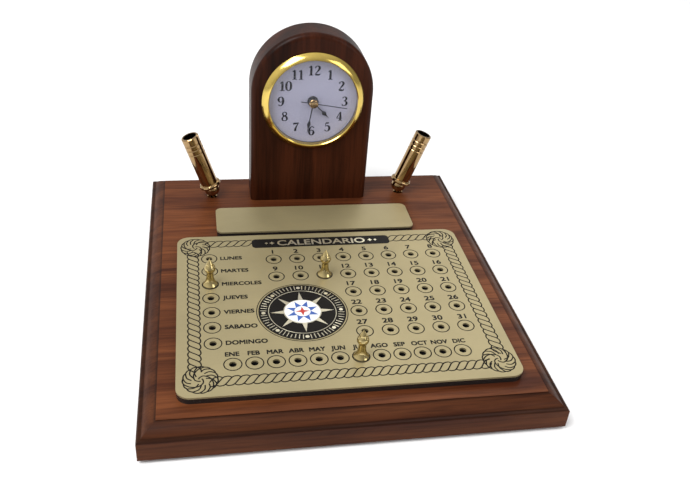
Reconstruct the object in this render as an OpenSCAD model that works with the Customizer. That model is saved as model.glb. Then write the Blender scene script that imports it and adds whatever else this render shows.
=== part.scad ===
// Desk clock with a peg calendar, on a moulded wooden base with two swivelling pen funnels.
// Millimetres. Origin: middle of the footprint, on the surface that the feet stand on.
// X runs right, Y runs back and Z runs up, as the owner sees the clock.

/* [Base] */
// Width of the base board
board_w = 210; // [196:1:240]
// Depth of the base board, front to back
board_d = 244; // [236:1:270]
// Thickness of the base board
board_t = 17; // [15:0.5:24]
// Width of the moulded border, from the flat top to the outer edge
border_w = 9; // [6:0.5:10]
// Width of the flat ledge outside the curve of the border
ledge_w = 2.1; // [1.5:0.1:3]
// Drop from the top of the board to the ledge
ledge_drop = 5; // [3:0.25:7]
// Fine step where the flat top ends
quirk = 0.5; // [0.3:0.1:1]
// How far the curve of the border stands out from a straight bevel
border_swell = 0.9; // [0.2:0.1:1.2]
// Small bevel on the outer edges of the board
arris = 0.7; // [0.3:0.1:1.2]
// Diameter of a felt foot
foot_d = 18; // [12:1:24]
// Thickness of a felt foot
foot_t = 1.5; // [1:0.25:3]
// From the outer edge of the board to the middle of a foot
foot_inset = 20; // [16:1:30]

/* [Calendar plate] */
// Width of the calendar plate
plate_w = 174; // [170:1:176]
// Depth of the calendar plate
plate_d = 138; // [134:1:142]
// Corner radius of the calendar plate
plate_r = 7; // [3:0.5:12]
// Thickness of the brass faces
face_t = 1; // [0.6:0.1:2]
// Thickness of the black backings
backing_t = 3; // [2:0.25:5]
// Bare wood in front of the calendar plate
plate_margin = 8.5; // [6:0.5:10]
// Diameter of a peg hole
hole_d = 3.8; // [3:0.1:3.9]
// Depth of a peg hole below the brass face
hole_depth = 12; // [10:0.5:15]
// Spacing of the date holes along a row
date_pitch = 14; // [13:0.1:14.5]
// Spacing of the date rows
date_row_pitch = 17.5; // [15:0.1:18]
// From the right edge of the plate to the last date column
date_right = 19.8; // [16:0.1:24]
// From the back edge of the plate to the first date row
date_back = 26.8; // [24:0.1:28]
// Spacing of the weekday holes
day_pitch = 12.7; // [11:0.1:13]
// From the left edge of the plate to the weekday holes
day_left = 18.5; // [15:0.1:20]
// From the back edge of the plate to the first weekday hole
day_back = 23.9; // [22:0.1:25]
// Spacing of the month holes
month_pitch = 10.8; // [10:0.1:11]
// From the left edge of the plate to the first month hole
month_left = 27.7; // [26:0.1:30]
// From the front edge of the plate to the month holes
month_front = 21.5; // [18:0.1:22]

/* [Pegs] */
// Height of a peg above the plate
peg_h = 17.5; // [16:0.5:22]
// Diameter of the bell foot of a peg
peg_foot_d = 8.2; // [6.5:0.1:9]
// Diameter of the flame head of a peg
peg_head_d = 6.3; // [5:0.1:8]
// Diameter of the waist of a peg
peg_waist_d = 4; // [3:0.1:4.6]
// Height of the bell foot, up to the waist
peg_bell_h = 7; // [5:0.25:9]
// Length of the pin under a peg
pin_len = 9; // [6:0.5:9.5]
// Clearance round a peg pin, on each side
pin_clear = 0.1; // [0.05:0.01:0.1]
// Weekday hole that holds a peg
day_shown = 3; // [1:1:7]
// Date hole that holds a peg
date_shown = 11; // [1:1:31]
// Month hole that holds a peg
month_shown = 7; // [1:1:12]

/* [Dedication plate] */
// Width of the dedication plate
dedication_w = 126; // [110:1:140]
// Depth of the dedication plate
dedication_d = 29.5; // [26:0.5:32]
// Corner radius of the dedication plate
dedication_r = 4; // [2:0.5:6]
// Bare wood between the two plates
plate_gap = 4.3; // [3:0.1:5]

/* [Clock block] */
// Width of the clock block
block_w = 78; // [74:1:90]
// Depth of the clock block, front to back
block_d = 22; // [20.5:0.5:28]
// Height of the clock block above the board
block_h = 115; // [112:1:130]
// Rounding of the front edges of the block
block_front_r = 3.5; // [2:0.25:4]
// Rounding of the back edges of the block
block_back_r = 1.5; // [1:0.25:2.5]
// Bare flat board behind the block
block_margin = 8.2; // [4:0.2:10]
// Bare wood between the dedication plate and the block
block_gap = 15.5; // [12:0.5:18]
// Height of the middle of the dial above the board
clock_h = 71; // [68:0.5:74]
// Diameter of the pocket for the clock insert
pocket_d = 60.6; // [60:0.1:62]
// Depth of the pocket for the clock insert
pocket_depth = 14.8; // [14.4:0.1:15.6]
// Diameter of the screws that hold the block
screw_d = 4; // [3:0.5:5]
// Length of the screws that hold the block
screw_len = 34; // [28:1:38]
// Distance between the two block screws
screw_gap = 46; // [36:1:52]

/* [Pen funnels] */
// From the middle of the board to the middle of a funnel's ball
funnel_x = 64.5; // [60:0.5:78]
// How far the balls stand in front of the middle of the block
funnel_forward = 3.1; // [0:0.1:6]
// Lean of the funnels, outwards from upright
funnel_lean = 19; // [10:1:28]
// From the middle of the ball to the mouth of the funnel
funnel_len = 41; // [36:0.5:48]
// Outer diameter of the funnel at its mouth
mouth_d = 11.4; // [10.8:0.1:12.4]
// Outer diameter of the funnel just above its ring
tube_d = 11.2; // [10.6:0.1:12]
// Bore that the pen stands in
pen_bore_d = 8.8; // [8:0.1:9]
// Thickness of the floor under the pen
bore_floor = 2; // [1.5:0.1:4]
// Diameter over the ring at the foot of the funnel
ring_d = 14.2; // [13:0.1:15]
// Outer diameter of the round socket under the ring
socket_d = 10; // [9.6:0.1:10.4]
// Diameter of the ball on the stud
ball_d = 7.4; // [7:0.1:7.8]
// Height of the middle of the ball above the board
ball_h = 5.4; // [5.3:0.1:7]
// Diameter of the neck under the ball
neck_d = 2; // [1.8:0.1:2.2]
// Diameter of the collar of the stud on the board
stud_collar_d = 6.6; // [6:0.1:8]
// Diameter of the threaded stud through the board
stud_d = 5; // [4:0.25:6]

/* [Clock insert] */
// Outer diameter of the brass bezel
bezel_d = 65; // [64:0.25:70]
// Width of the bezel, from its outer edge to the opening
bezel_w = 4.3; // [3.8:0.1:5]
// Height of the bezel in front of the block
bezel_h = 4; // [3.2:0.1:5]
// How far the middle of the crystal bulges
crystal_rise = 3; // [2:0.1:4]
// Thickness of the crystal
crystal_t = 1.2; // [0.8:0.1:1.6]
// Depth of the dial face behind the front of the block
dial_depth = 1; // [0.8:0.1:1.6]
// Diameter of the dark boss in the middle of the dial
boss_d = 7; // [6:0.1:8]
// Diameter of the brass cap over the hands
cap_d = 5.9; // [5:0.1:7]
// Length of the hour hand
hour_len = 15; // [12:0.5:17]
// Length of the minute hand
minute_len = 21.2; // [18:0.1:23]
// Length of the second hand
second_len = 21.8; // [18:0.1:24]
// Hour that the hands show
rest_hour = 4; // [0:1:11]
// Minutes that the hands show
rest_minute = 31.5; // [0:0.5:59.5]
// Second that the thin hand shows
rest_second = 16.5; // [0:0.5:59.5]

/* [Movement] */
// Module of the rotor pinion and the wheel it drives
rotor_module = 0.2; // [0.18:0.01:0.21]
// Module of the second wheel and the pinion that drives it
second_module = 0.36; // [0.35:0.01:0.37]
// Module of the third wheel and the pinion that drives it
third_module = 0.205; // [0.205:0.005:0.215]
// Module of the cannon pinion, minute wheel and setting pinion
motion_module = 0.25; // [0.24:0.01:0.26]
// Diameter of the button cell
cell_d = 11.6; // [11:0.1:12]
// Thickness of the button cell
cell_t = 5.4; // [4.5:0.1:5.5]
// Diameter of the setting knob
knob_d = 9; // [7:0.5:12]

/* [Hidden] */
$fn = 64;
// Small clearances
seat_gap = 0.1;
run_clear = 0.08;
joint_gap = 0.3;
glue_gap = 0.05;
weld = 0.01;
// Height of a cutter that goes right through the clock insert
through_h = 60;

// Heights of the stack, up from the table
board_z = foot_t;
top_z = board_z + board_t;
face_z = top_z + backing_t;
plate_top_z = face_z + face_t;

// The flat top of the board, and the bare wood that four gaps share on it
flat_y = board_d / 2 - border_w;
bare_d = 2 * flat_y - plate_d - dedication_d - block_d;
gap_share = bare_d / (plate_margin + plate_gap + block_gap + block_margin);

// Middles of the two plates
plate_y = -flat_y + gap_share * plate_margin + plate_d / 2;
dedication_y = plate_y + plate_d / 2 + gap_share * plate_gap + dedication_d / 2;

// The clock block
block_front_y = flat_y - gap_share * block_margin - block_d;
block_mid_y = block_front_y + block_d / 2;
arch_r = block_w / 2;
arch_z = block_h - arch_r;
clock_z = top_z + clock_h;
pilot_d = screw_d + 2 * glue_gap;
screw_head_d = 2 * screw_d;
screw_head_h = screw_d * 0.8;
screw_sink = 1;

// Peg holes, as places on the board
function date_col(n) = n <= 16 ? (n - 1) % 8 : 3 + (n - 17) % 5;
function date_row(n) = n <= 16 ? floor((n - 1) / 8) : 2 + floor((n - 17) / 5);
function date_hole(n) = [plate_w / 2 - date_right - (7 - date_col(n)) * date_pitch,
    plate_y + plate_d / 2 - date_back - date_row(n) * date_row_pitch];
function day_hole(n) = [-plate_w / 2 + day_left,
    plate_y + plate_d / 2 - day_back - (n - 1) * day_pitch];
function month_hole(n) = [-plate_w / 2 + month_left + (n - 1) * month_pitch,
    plate_y - plate_d / 2 + month_front];
peg_holes = [for (n = [1:7]) day_hole(n), for (n = [1:31]) date_hole(n),
    for (n = [1:12]) month_hole(n)];
pin_d = hole_d - 2 * pin_clear;

// Pen funnels
funnel_y = block_mid_y - funnel_forward;
ball_z = top_z + ball_h;
stud_collar_h = 0.4;
stud_hole_d = stud_d + 2 * run_clear;
nut_d = 2 * stud_d;
nut_h = 3;
nut_sink = 1;
nut_pocket_d = nut_d + 2;
socket_bore_d = ball_d + 2 * glue_gap;
socket_open = 43;
ring_rise = 3.9;
ring_h = 3;

// The clock insert is drawn lying on its back: z = 0 is the front of the block and
// z grows towards the reader
bezel_r = bezel_d / 2;
opening_r = bezel_r - bezel_w;
bezel_edge_h = 0.7;
bezel_lip = 0.5;
case_r = pocket_d / 2 - 1.1;
case_wall = 1;
case_back = -12.6;
case_inner_r = case_r - case_wall;
shoulder_w = 1.2;
gasket_r = pocket_d / 2 - seat_gap;
gasket_t = 0.4;
gasket_ribs = 4;
rib_step = 2.5;
rib_t = 0.8;
gasket_z = case_back + rib_step;
gasket_len = gasket_ribs * rib_step - 1.5;
crystal_r = opening_r - glue_gap;
crystal_edge_z = 3.4;
dial_t = 0.6;
dial_z = -dial_depth - dial_t;
dial_r = case_inner_r - glue_gap;
plate_t = 1.2;
front_plate_z = dial_z - plate_t;
cover_back_z = case_back + 1;
cover_wall = 1;
cover_floor = 1.4;
cover_inner_z = cover_back_z + cover_floor;

// Gear levels, counted back from the front plate
wheel_t = 0.7;
level_step = 1.1;
function level(k) = front_plate_z - 0.4 - wheel_t - k * level_step;
hour_level = level(0);
cannon_level = level(1);
centre_level = level(2);
third_level = level(3);
second_level = level(4);
drive_level = level(5);

// Tooth counts
rotor_teeth = 8;
drive_teeth = 60;
drive_pinion_teeth = 8;
second_teeth = 32;
second_pinion_teeth = 8;
third_teeth = 60;
third_pinion_teeth = 8;
centre_teeth = 64;
cannon_teeth = 12;
minute_teeth = 36;
minute_pinion_teeth = 10;
hour_teeth = 40;
setting_teeth = 18;

// Distances between the arbors; two meshes that share them share the distance
function mesh_distance(m, a, b) = m * (a + b) / 2;
drive_dist = mesh_distance(second_module, drive_pinion_teeth, second_teeth);
rotor_dist = mesh_distance(rotor_module, rotor_teeth, drive_teeth);
third_dist = mesh_distance(third_module, second_pinion_teeth, third_teeth);
centre_module = 2 * third_dist / (third_pinion_teeth + centre_teeth);
minute_dist = mesh_distance(motion_module, cannon_teeth, minute_teeth);
hour_module = 2 * minute_dist / (minute_pinion_teeth + hour_teeth);
setting_dist = mesh_distance(motion_module, minute_teeth, setting_teeth);

// Directions between the arbors, and their places round the middle of the dial
third_dir = 150;
drive_dir = 10;
rotor_dir = 80;
minute_dir = -90;
setting_dir = -150;
function polar(r, a) = [r * cos(a), r * sin(a)];
third_at = polar(third_dist, third_dir);
drive_at = polar(drive_dist, drive_dir);
rotor_at = drive_at + polar(rotor_dist, rotor_dir);
minute_at = polar(minute_dist, minute_dir);
setting_at = minute_at + polar(setting_dist, setting_dir);

// Arbors and tubes on the middle axis
pivot_r = 0.5;
second_arbor_r = 0.5;
cannon_tube_r = second_arbor_r + run_clear + 0.45;
hour_tube_r = cannon_tube_r + run_clear + 0.55;
pivot_depth = 0.8;
hand_t = 0.25;
hour_hand_z = 0.6;
minute_hand_z = 1.6;
second_hand_z = 2.8;
hand_hub_r = 2;
boss_top_z = -dial_depth + 0.9;

// Stepping motor
magnet_r = 1.6;
stator_gap = 0.35;
stator_t = 0.8;
coil_from = 0;
coil_to = 14;
coil_y = 17.8;
coil_r = 1.9;
bobbin_flange_r = 2.2;
bobbin_flange_t = 0.6;
core_r = 0.8;
arm_half = 1.1;
arm_out = 1.5;
arm_in = 2.4;
coil_z = second_level + wheel_t / 2;

// Circuit board, cell and cap
cell_at = [14, -12.5];
cell_z = cover_inner_z + 0.8;
cap_r = cell_d / 2 + 1.1;
lug_reach = 0.9;
lug_w = 3;
lug_t = 0.4;
contact_t = 0.3;
contact_w = 2.5;
rim_contact_dir = 200;
circuit_at = [0.5, -19];
circuit_size = [10, 9];
circuit_t = 0.8;
circuit_z = cover_inner_z + 0.2;
movement_screw_r = 25.2;
movement_screw_dirs = [25, 160, 235];
movement_screw_d = 1.4;
setting_arbor_r = 0.8;

// ---------- shapes shared by several pieces ----------

module rounded_plate(w, d, r, t) {
    linear_extrude(t) {
        square([w - 2 * r, d], center = true);
        square([w, d - 2 * r], center = true);
        for (x = [-1, 1], y = [-1, 1])
            translate([x * (w / 2 - r), y * (d / 2 - r)])
                circle(r);
    }
}

module at_peg_holes() {
    for (p = peg_holes)
        translate([p[0], p[1], 0])
            children();
}

// Lays a piece of the clock insert in its place in the block
module in_block() {
    translate([0, block_front_y, clock_z])
        rotate([90, 0, 0])
            children();
}

module ring(r_out, r_in, z, h) {
    translate([0, 0, z])
        difference() {
            cylinder(r = r_out, h = h);
            translate([0, 0, -1])
                cylinder(r = r_in, h = h + 2);
        }
}

// ---------- base ----------

// Curve of the border: a bevel that swells outwards in the middle
function border_curve(half) = [for (i = [0:8])
    let (t = i / 8, run = border_w - ledge_w, drop = ledge_drop - quirk)
    [half - border_w + run * t + border_swell * 4 * t * (1 - t) * drop / (run + drop),
     board_t - quirk - drop * t + border_swell * 4 * t * (1 - t) * run / (run + drop)]];

function edge_points(half) = concat(
    [[half - border_w, board_t]],
    border_curve(half),
    [[half - arris, board_t - ledge_drop], [half, board_t - ledge_drop - arris],
     [half, arris], [half - arris, 0]]);

function mirrored(points) = [for (i = [len(points) - 1:-1:0]) [-points[i][0], points[i][1]]];

module edge_section(half) {
    polygon(concat(edge_points(half), mirrored(edge_points(half))));
}

module base_board() {
    color([0.45, 0.24, 0.14])
        difference() {
            translate([0, 0, board_z])
                intersection() {
                    translate([0, board_d / 2 + 1, 0])
                        rotate([90, 0, 0])
                            linear_extrude(board_d + 2)
                                edge_section(board_w / 2);
                    translate([-board_w / 2 - 1, 0, 0])
                        rotate([90, 0, 90])
                            linear_extrude(board_w + 2)
                                edge_section(board_d / 2);
                }
            at_peg_holes()
                translate([0, 0, plate_top_z - hole_depth])
                    cylinder(d = hole_d, h = hole_depth);
            for (x = [-1, 1]) {
                translate([x * funnel_x, funnel_y, 0])
                    stud_hole();
                translate([x * screw_gap / 2, block_mid_y, 0])
                    screw_hole();
            }
        }
}

module stud_hole() {
    cylinder(d = stud_hole_d, h = top_z + 1);
    cylinder(d = nut_pocket_d, h = board_z + nut_h + nut_sink);
}

module screw_hole() {
    cylinder(d = pilot_d, h = top_z + 1);
    cylinder(d = screw_head_d + 2 * joint_gap, h = board_z + screw_sink + screw_head_h);
}

module felt_feet() {
    color([0.12, 0.2, 0.14])
        for (x = [-1, 1], y = [-1, 1])
            translate([x * (board_w / 2 - foot_inset), y * (board_d / 2 - foot_inset), 0])
                cylinder(d = foot_d, h = foot_t);
}

// ---------- plates ----------

module calendar_backing() {
    color([0.05, 0.05, 0.05])
        drilled_plate(top_z, backing_t);
}

module calendar_plate() {
    color([0.78, 0.72, 0.52])
        drilled_plate(face_z, face_t);
}

module drilled_plate(z, t) {
    difference() {
        translate([0, plate_y, z])
            rounded_plate(plate_w, plate_d, plate_r, t);
        at_peg_holes()
            translate([0, 0, z - 1])
                cylinder(d = hole_d, h = t + 2);
    }
}

module dedication_backing() {
    color([0.05, 0.05, 0.05])
        translate([0, dedication_y, top_z])
            rounded_plate(dedication_w, dedication_d, dedication_r, backing_t);
}

module dedication_plate() {
    color([0.78, 0.72, 0.52])
        translate([0, dedication_y, face_z])
            rounded_plate(dedication_w, dedication_d, dedication_r, face_t);
}

// ---------- pegs ----------

function bell_point(t) = [peg_waist_d / 2 + (peg_foot_d - peg_waist_d) / 2 * pow(1 - t, 2.4),
    0.5 + (peg_bell_h - 0.5) * t];
function flame_point(t) = [max(peg_waist_d / 2 * min(1, 3 * t),
    peg_head_d / 2 * sin(180 * pow(t, 1.5))), peg_h - (peg_h - peg_bell_h) * t];

module peg(place) {
    points = concat([[0, 0], [peg_foot_d / 2 - 0.2, 0], [peg_foot_d / 2, 0.2]],
        [for (i = [0:10]) bell_point(i / 10)],
        [for (i = [15:-1:1]) flame_point(i / 16)], [[0, peg_h]]);
    color([0.85, 0.65, 0.3])
        translate([place[0], place[1], plate_top_z + seat_gap]) {
            rotate_extrude()
                polygon(points);
            translate([0, 0, -pin_len])
                cylinder(d = pin_d, h = pin_len + weld);
        }
}

module day_peg() {
    peg(day_hole(day_shown));
}

module date_peg() {
    peg(date_hole(date_shown));
}

module month_peg() {
    peg(month_hole(month_shown));
}

// ---------- clock block ----------

// Section through one side of the block, from its middle (x = 0) outwards; y runs back
module block_section() {
    square([arch_r - block_front_r, block_d]);
    translate([0, block_front_r])
        square([arch_r, block_d - block_front_r - block_back_r]);
    translate([0, block_front_r])
        square([arch_r - block_back_r, block_d - block_front_r]);
    translate([arch_r - block_front_r, block_front_r])
        circle(block_front_r);
    translate([arch_r - block_back_r, block_d - block_back_r])
        circle(block_back_r);
}

module block_body() {
    translate([0, block_front_y, top_z]) {
        linear_extrude(arch_z) {
            block_section();
            mirror([1, 0])
                block_section();
        }
        translate([0, 0, arch_z])
            rotate([90, 0, 0])
                mirror([0, 0, 1])
                    rotate_extrude(angle = 180)
                        block_section();
    }
}

module clock_block() {
    color([0.3, 0.16, 0.1])
        difference() {
            block_body();
            in_block()
                translate([0, 0, -pocket_depth])
                    cylinder(d = pocket_d, h = pocket_depth + 1);
            for (x = [-1, 1])
                translate([x * screw_gap / 2, block_mid_y, board_z])
                    cylinder(d = pilot_d, h = screw_len + screw_sink + 1);
        }
}

module block_screws() {
    color([0.6, 0.6, 0.62])
        for (x = [-1, 1])
            translate([x * screw_gap / 2, block_mid_y, board_z + screw_sink])
                difference() {
                    union() {
                        cylinder(d = screw_d, h = screw_len - 2);
                        translate([0, 0, screw_len - 2])
                            cylinder(d1 = screw_d, d2 = screw_d / 4, h = 2);
                        cylinder(d = screw_head_d, h = screw_head_h);
                    }
                    for (a = [0, 90])
                        rotate(a)
                            translate([-screw_d * 0.6, -0.4, -1])
                                cube([screw_d * 1.2, 0.8, 2.2]);
                }
}

// ---------- pen funnels ----------

module ball_stud(side) {
    stud_end = board_z + 0.5;
    color([0.85, 0.65, 0.3])
        translate([side * funnel_x, funnel_y, 0]) {
            translate([0, 0, ball_z])
                sphere(d = ball_d);
            translate([0, 0, top_z + stud_collar_h - weld])
                cylinder(d = neck_d, h = ball_h - stud_collar_h);
            translate([0, 0, top_z + seat_gap])
                cylinder(d = stud_collar_d, h = stud_collar_h - seat_gap);
            translate([0, 0, stud_end])
                cylinder(d = stud_d, h = top_z + stud_collar_h / 2 - stud_end);
        }
}

module stud_nut(side) {
    color([0.85, 0.65, 0.3])
        translate([side * funnel_x, funnel_y, board_z + nut_sink - seat_gap])
            difference() {
                cylinder(d = nut_d, h = nut_h, $fn = 6);
                translate([0, 0, -1])
                    cylinder(d = stud_d, h = nut_h + 2);
            }
}

// Tube of the funnel, from its ring to its mouth, with three fine grooves near the mouth
groove_r = 0.3;
grooves = [5, 8.3, 11.6];
function tube_r(z) = tube_d / 2 + (mouth_d - tube_d) / 2 * (z - ring_rise) / (funnel_len - ring_rise);
function groove_points(z) = [[tube_r(z - 2 * groove_r), z - 2 * groove_r],
    [tube_r(z) - groove_r, z - groove_r / 2], [tube_r(z) - groove_r, z + groove_r / 2],
    [tube_r(z + 2 * groove_r), z + 2 * groove_r]];
function ring_point(a) = [ring_d / 2 - ring_h / 2 + ring_h / 2 * cos(a),
    ring_rise + ring_h / 2 * sin(a)];

module funnel_section() {
    root_r = socket_d / 2 - 0.4;
    polygon(concat(
        [[0, root_r], [root_r * sin(50), root_r * cos(50)]],
        [for (a = [-90:20:90]) ring_point(a)],
        [[tube_r(ring_rise + ring_h / 2 + 0.4), ring_rise + ring_h / 2 + 0.4]],
        [for (i = [2:-1:0]) each groove_points(funnel_len - grooves[i])],
        [[mouth_d / 2, funnel_len - 0.4], [mouth_d / 2 - 0.4, funnel_len], [0, funnel_len]]));
}

module funnel_body() {
    bore_z = socket_d / 2 + bore_floor;
    difference() {
        union() {
            rotate_extrude()
                funnel_section();
            sphere(d = socket_d);
        }
        sphere(d = socket_bore_d);
        translate([0, 0, -socket_d])
            cylinder(r1 = socket_d * tan(socket_open), r2 = 0, h = socket_d);
        translate([0, 0, bore_z])
            cylinder(d = pen_bore_d, h = funnel_len);
    }
}

module pen_funnel(side) {
    color([0.85, 0.65, 0.3])
        translate([side * funnel_x, funnel_y, ball_z])
            rotate([0, side * funnel_lean, 0])
                funnel_body();
}

module left_ball_stud() {
    ball_stud(-1);
}

module left_stud_nut() {
    stud_nut(-1);
}

module left_pen_funnel() {
    pen_funnel(-1);
}

module right_ball_stud() {
    ball_stud(1);
}

module right_stud_nut() {
    stud_nut(1);
}

module right_pen_funnel() {
    pen_funnel(1);
}

// ---------- clock insert: bezel, crystal, dial and case ----------

// The bezel rises from its outer edge to a lip round the opening
function bezel_point(t) = [bezel_r - (bezel_w - bezel_lip) * t,
    bezel_edge_h + (bezel_h - bezel_edge_h) * t * (1.6 - 0.6 * t)];

module insert_bezel() {
    color([0.85, 0.65, 0.25])
        in_block()
            rotate_extrude()
                polygon(concat([[opening_r, seat_gap], [bezel_r, seat_gap]],
                    [for (i = [0:8]) bezel_point(i / 8)],
                    [[opening_r, bezel_h - bezel_lip]]));
}

// The crystal is a thin cap between two spheres
module crystal() {
    cap_sphere_r = (crystal_r * crystal_r + crystal_rise * crystal_rise) / (2 * crystal_rise);
    color([0.8, 0.88, 0.92, 0.4])
        in_block()
            intersection() {
                translate([0, 0, seat_gap])
                    cylinder(r = crystal_r, h = bezel_h + crystal_rise);
                difference() {
                    translate([0, 0, crystal_edge_z + crystal_rise - cap_sphere_r])
                        sphere(r = cap_sphere_r, $fn = 128);
                    translate([0, 0, crystal_edge_z + crystal_rise - cap_sphere_r - crystal_t])
                        sphere(r = cap_sphere_r, $fn = 128);
                }
            }
}

module dial() {
    color([0.88, 0.86, 0.92])
        in_block()
            ring(dial_r, boss_d / 2 + glue_gap, dial_z, dial_t);
}

module insert_case() {
    color([0.15, 0.15, 0.16])
        in_block() {
            ring(case_r, case_inner_r, case_back, seat_gap - case_back);
            ring(case_r, case_inner_r - shoulder_w, case_back, 1);
        }
}

module case_gasket() {
    inner_r = case_r + glue_gap;
    color([0.08, 0.08, 0.08])
        in_block() {
            ring(inner_r + gasket_t, inner_r, gasket_z, gasket_len);
            for (k = [0:gasket_ribs - 1])
                ring(gasket_r, inner_r + gasket_t / 2, gasket_z + k * rib_step, rib_t);
        }
}

// ---------- hands ----------

// A hand points along +Y: a hub, a slim arm, a lozenge and a pointed tip
module hand(length, wide, hub_bore) {
    difference() {
        union() {
            circle(hand_hub_r);
            polygon([[-0.45, 0], [0.45, 0], [0.3, length * 0.56], [wide / 2, length * 0.7],
                [0.3, length * 0.84], [0.08, length], [-0.08, length], [-0.3, length * 0.84],
                [-wide / 2, length * 0.7], [-0.3, length * 0.56]]);
        }
        circle(hub_bore);
    }
}

hour_angle = (rest_hour + rest_minute / 60) * 30;
minute_angle = rest_minute * 6;
second_angle = rest_second * 6;

module hour_hand() {
    color([0.06, 0.06, 0.07])
        in_block()
            rotate(-hour_angle)
                translate([0, 0, hour_hand_z])
                    linear_extrude(hand_t)
                        hand(hour_len, 3, hour_tube_r);
}

module minute_hand() {
    color([0.06, 0.06, 0.07])
        in_block()
            rotate(-minute_angle)
                translate([0, 0, minute_hand_z])
                    linear_extrude(hand_t)
                        hand(minute_len, 2.3, cannon_tube_r);
}

module second_hand() {
    tail = second_len * 0.37;
    color([0.06, 0.06, 0.07])
        in_block()
            rotate(-second_angle)
                translate([0, 0, second_hand_z])
                    linear_extrude(hand_t)
                        difference() {
                            union() {
                                circle(hand_hub_r * 0.8);
                                translate([-0.25, -tail])
                                    square([0.5, tail + second_len]);
                            }
                            circle(second_arbor_r);
                        }
}

module hand_cap() {
    cap_h = 1.5;
    color([0.8, 0.6, 0.3])
        in_block()
            translate([0, 0, second_hand_z + hand_t])
                rotate_extrude()
                    polygon(concat([[0, 0], [cap_d / 2, 0]],
                        [for (a = [10:16:90]) [cap_d / 2 * cos(a), 0.4 + (cap_h - 0.4) * sin(a)]]));
}

// ---------- gear train ----------

// Phase of a driven gear whose gap meets a tooth of its mate in direction dir
function mesh_phase(dir, mate_phase, mate_teeth, teeth) =
    dir + 180 + (dir - mate_phase) * mate_teeth / teeth + 180 / teeth;

wheel_tooth = [0.9, 1.15, 0.4];
pinion_tooth = [0.75, 1.3, 0.38];

// Outline of a gear; form gives addendum and dedendum in modules and tooth width in pitches
function gear_outline(m, teeth, form, phase) = [for (k = [0:teeth - 1])
    let (pitch = 360 / teeth, mid = phase + k * pitch, r = m * teeth / 2,
        half = form[2] * pitch / 2, tip = half * 0.4, root = half * (teeth < 20 ? 1 : 1.3))
    each [polar(r - form[1] * m, mid - root), polar(r, mid - half),
        polar(r + form[0] * m, mid - tip), polar(r + form[0] * m, mid + tip),
        polar(r, mid + half), polar(r - form[1] * m, mid + root)]];

module gear(m, teeth, form, phase, z, h) {
    translate([0, 0, z])
        linear_extrude(h)
            polygon(gear_outline(m, teeth, form, phase));
}

module arbor(r, from, to) {
    translate([0, 0, from])
        cylinder(r = r, h = to - from);
}

pivot_back = cover_inner_z - pivot_depth;
pivot_front = front_plate_z + pivot_depth;

module rotor_pinion() {
    color([0.9, 0.88, 0.8])
        in_block()
            translate(concat(rotor_at, 0)) {
                gear(rotor_module, rotor_teeth, pinion_tooth, 0, drive_level, wheel_t);
                arbor(pivot_r, pivot_back, pivot_front);
            }
}

module rotor_magnet() {
    color([0.3, 0.3, 0.32])
        in_block()
            translate(concat(rotor_at, 0))
                ring(magnet_r, pivot_r, second_level - 0.1, wheel_t + 0.4);
}

module drive_wheel() {
    color([0.9, 0.88, 0.8])
        in_block()
            translate(concat(drive_at, 0)) {
                gear(rotor_module, drive_teeth, wheel_tooth,
                    mesh_phase(rotor_dir + 180, 0, rotor_teeth, drive_teeth), drive_level, wheel_t);
                gear(second_module, drive_pinion_teeth, pinion_tooth, 0,
                    drive_level + wheel_t - weld, second_level - drive_level + weld);
                arbor(pivot_r, pivot_back, pivot_front);
            }
}

module second_wheel() {
    color([0.9, 0.88, 0.8])
        in_block() {
            gear(second_module, second_teeth, wheel_tooth,
                mesh_phase(drive_dir + 180, 0, drive_pinion_teeth, second_teeth),
                second_level, wheel_t);
            gear(third_module, second_pinion_teeth, pinion_tooth, 0,
                second_level + wheel_t - weld, third_level - second_level + weld);
            arbor(second_arbor_r, pivot_back, second_hand_z + hand_t);
        }
}

module third_wheel() {
    color([0.9, 0.88, 0.8])
        in_block()
            translate(concat(third_at, 0)) {
                gear(third_module, third_teeth, wheel_tooth,
                    mesh_phase(third_dir, 0, second_pinion_teeth, third_teeth), third_level, wheel_t);
                gear(centre_module, third_pinion_teeth, pinion_tooth, 0,
                    third_level + wheel_t - weld, centre_level - third_level + weld);
                arbor(pivot_r, pivot_back, pivot_front);
            }
}

module centre_wheel() {
    color([0.9, 0.88, 0.8])
        in_block()
            difference() {
                gear(centre_module, centre_teeth, wheel_tooth,
                    mesh_phase(third_dir + 180, 0, third_pinion_teeth, centre_teeth),
                    centre_level, wheel_t);
                arbor(cannon_tube_r + run_clear, centre_level - 1, centre_level + 2);
            }
}

// The cannon pinion grips the centre wheel lightly, so that the hands can be set
module cannon_pinion() {
    color([0.9, 0.88, 0.8])
        in_block()
            difference() {
                union() {
                    gear(motion_module, cannon_teeth, pinion_tooth, 0, cannon_level, wheel_t);
                    arbor(cannon_tube_r, centre_level - seat_gap, minute_hand_z + hand_t);
                }
                arbor(second_arbor_r + run_clear, centre_level - 1, minute_hand_z + 1);
            }
}

module minute_wheel() {
    color([0.9, 0.88, 0.8])
        in_block()
            translate(concat(minute_at, 0))
                difference() {
                    union() {
                        gear(motion_module, minute_teeth, wheel_tooth,
                            mesh_phase(minute_dir, 0, cannon_teeth, minute_teeth),
                            cannon_level, wheel_t);
                        gear(hour_module, minute_pinion_teeth, pinion_tooth, 0,
                            cannon_level + wheel_t - weld, hour_level - cannon_level + weld);
                    }
                    arbor(pivot_r + run_clear, cannon_level - 1, hour_level + 2);
                }
}

module hour_wheel() {
    color([0.9, 0.88, 0.8])
        in_block()
            difference() {
                union() {
                    gear(hour_module, hour_teeth, wheel_tooth,
                        mesh_phase(minute_dir + 180, 0, minute_pinion_teeth, hour_teeth),
                        hour_level, wheel_t);
                    arbor(hour_tube_r, hour_level, hour_hand_z + hand_t);
                }
                arbor(cannon_tube_r + run_clear, hour_level - 1, hour_hand_z + 1);
            }
}

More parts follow.
